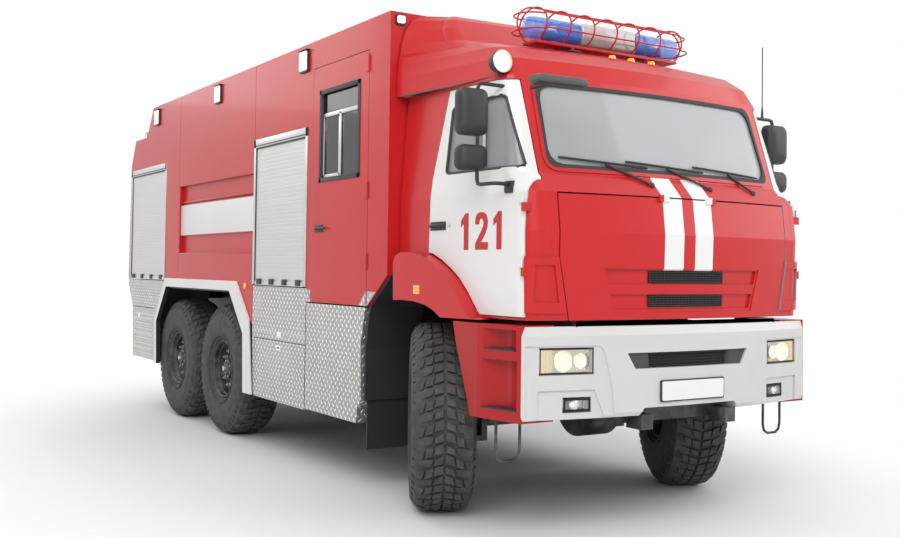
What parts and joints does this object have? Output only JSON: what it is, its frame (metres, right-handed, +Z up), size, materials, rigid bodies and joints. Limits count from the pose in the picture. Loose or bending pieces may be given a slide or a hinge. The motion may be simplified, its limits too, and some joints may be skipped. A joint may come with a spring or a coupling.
{
  "type": "water tanker fire truck",
  "caption": "Six-wheel-drive cab-over fire truck with a tilting cab, crew module, water tank module and rear bay on a ladder frame.",
  "frame": {"origin": "on the ground under the middle of the truck's overall length and width", "axes": "+Y towards the tail, -Y the nose, +X the truck's left, +Z up"},
  "size_m": [2.8698, 7.99, 3.33],
  "materials": {
    "red_paint": "gloss",
    "white_paint": "gloss",
    "black_steel": "satin",
    "glazing": "clear",
    "rubber_seal": "matt",
    "tyre_rubber": "matt",
    "black_plastic": "grained",
    "tread_plate": "five-bar tread plate",
    "shutter_slats": "brushed slats",
    "lamp_lens": "clear lens",
    "blue_lens": "clear blue lens",
    "amber_lens": "lens",
    "seat_cloth": "woven",
    "zinc_wire": "satin",
    "cast_steel": "painted black"
  },
  "bodies": {
    "chassis": {"chassis_frame": "black_steel", "engine_block": "cast_steel", "driveline": "cast_steel", "front_axle": "cast_steel", "rear_axles": "cast_steel", "leaf_springs": "black_steel", "bumper": "white_paint", "front_lamps": "lamp_lens", "bumper_grille": "black_plastic", "step_panels": "red_paint", "wire_steps": "zinc_wire", "crew_module": "red_paint", "crew_seats": "seat_cloth", "tank_module": "red_paint", "rear_module": "red_paint", "roller_shutters": "shutter_slats", "chequer_skirts": "tread_plate", "arch_trims": "white_paint", "mudguards": "black_plastic", "scene_lamps": "lamp_lens", "roof_rails": "zinc_wire", "rear_underrun": "black_steel"},
    "cab": {"cab_shell": "red_paint", "cab_roof": "red_paint", "windscreen_seal": "rubber_seal", "windscreen_glass": "glazing", "cab_fenders": "red_paint", "light_bar_cage": "red_paint", "beacons": "blue_lens", "cab_lamps": "amber_lens", "kerb_mirror": "black_plastic", "wipers": "black_plastic", "cab_seats": "seat_cloth", "dashboard": "black_plastic"},
    "cab_door_right_leaf": {"cab_door_right": "white_paint", "cab_door_glass_right": "glazing", "door_mirrors_right": "black_plastic"},
    "cab_door_left_leaf": {"cab_door_left": "white_paint", "cab_door_glass_left": "glazing", "door_mirrors_left": "black_plastic"},
    "front_lid_leaf": {"front_lid": "red_paint", "grille": "black_plastic"},
    "crew_door_right_leaf": {"crew_door_right": "red_paint", "crew_door_glass_right": "glazing"},
    "crew_door_left_leaf": {"crew_door_left": "red_paint", "crew_door_glass_left": "glazing"},
    "skirt_flap_right_leaf": {"skirt_flap_right": "tread_plate"},
    "skirt_flap_left_leaf": {"skirt_flap_left": "tread_plate"},
    "knuckle_right": {"steering_knuckle_right": "cast_steel"},
    "knuckle_left": {"steering_knuckle_left": "cast_steel"},
    "front_right_wheel": {"wheel_front_right": "tyre_rubber"},
    "front_left_wheel": {"wheel_front_left": "tyre_rubber"},
    "middle_right_wheel": {"wheel_middle_right": "tyre_rubber"},
    "middle_left_wheel": {"wheel_middle_left": "tyre_rubber"},
    "rear_right_wheel": {"wheel_rear_right": "tyre_rubber"},
    "rear_left_wheel": {"wheel_rear_left": "tyre_rubber"}
  },
  "joints": [
    {"name": "cab_tilt", "type": "hinge", "parent": "chassis", "child": "cab", "pos_m": [0, -3.705, 0.9], "axis": [1, 0, 0], "range_deg": [0, 50]},
    {"name": "front_lid_lift", "type": "hinge", "parent": "cab", "child": "front_lid_leaf", "pos_m": [0, -3.8113, 2.034], "axis": [-1, 0, 0], "range_deg": [0, 70]},
    {"name": "steer_right", "type": "hinge", "parent": "chassis", "child": "knuckle_right", "pos_m": [-0.85, -2.655, 0.61], "axis": [0, 0, 1], "range_deg": [-5, 63]},
    {"name": "steer_left", "type": "hinge", "parent": "chassis", "child": "knuckle_left", "pos_m": [0.85, -2.655, 0.61], "axis": [0, 0, 1], "range_deg": [-5, 63]},
    {"name": "cab_door_right_swing", "type": "hinge", "parent": "cab", "child": "cab_door_right_leaf", "pos_m": [-1.166, -3.677, 1.9], "axis": [0, 0, 1], "range_deg": [0, 70]},
    {"name": "crew_door_right_swing", "type": "hinge", "parent": "chassis", "child": "crew_door_right_leaf", "pos_m": [-1.2563, -1.971, 2.2], "axis": [0, 0, 1], "range_deg": [0, 90]},
    {"name": "skirt_flap_right_drop", "type": "hinge", "parent": "chassis", "child": "skirt_flap_right_leaf", "pos_m": [-1.206, -0.445, 0.4717], "axis": [0, -1, 0], "range_deg": [0, 90]},
    {"name": "front_right_spin", "type": "hinge", "parent": "knuckle_right", "child": "front_right_wheel", "pos_m": [-1.00306, -2.57016, 0.61], "axis": [0.8746, -0.4848, 0], "continuous": true},
    {"name": "middle_right_spin", "type": "hinge", "parent": "chassis", "child": "middle_right_wheel", "pos_m": [-1, 1.035, 0.61], "axis": [1, 0, 0], "continuous": true},
    {"name": "rear_right_spin", "type": "hinge", "parent": "chassis", "child": "rear_right_wheel", "pos_m": [-1, 2.355, 0.61], "axis": [1, 0, 0], "continuous": true},
    {"name": "cab_door_left_swing", "type": "hinge", "parent": "cab", "child": "cab_door_left_leaf", "pos_m": [1.166, -3.677, 1.9], "axis": [0, 0, -1], "range_deg": [0, 70]},
    {"name": "crew_door_left_swing", "type": "hinge", "parent": "chassis", "child": "crew_door_left_leaf", "pos_m": [1.2563, -1.971, 2.2], "axis": [0, 0, -1], "range_deg": [0, 90]},
    {"name": "skirt_flap_left_drop", "type": "hinge", "parent": "chassis", "child": "skirt_flap_left_leaf", "pos_m": [1.206, -0.445, 0.4717], "axis": [0, 1, 0], "range_deg": [0, 90]},
    {"name": "front_left_spin", "type": "hinge", "parent": "knuckle_left", "child": "front_left_wheel", "pos_m": [1.00306, -2.73984, 0.61], "axis": [0.8746, -0.4848, 0], "continuous": true},
    {"name": "middle_left_spin", "type": "hinge", "parent": "chassis", "child": "middle_left_wheel", "pos_m": [1, 1.035, 0.61], "axis": [1, 0, 0], "continuous": true},
    {"name": "rear_left_spin", "type": "hinge", "parent": "chassis", "child": "rear_left_wheel", "pos_m": [1, 2.355, 0.61], "axis": [1, 0, 0], "continuous": true}
  ],
  "couplings": [
    {"joint": "steer_left", "follows": "steer_right", "ratio": 1}
  ]
}
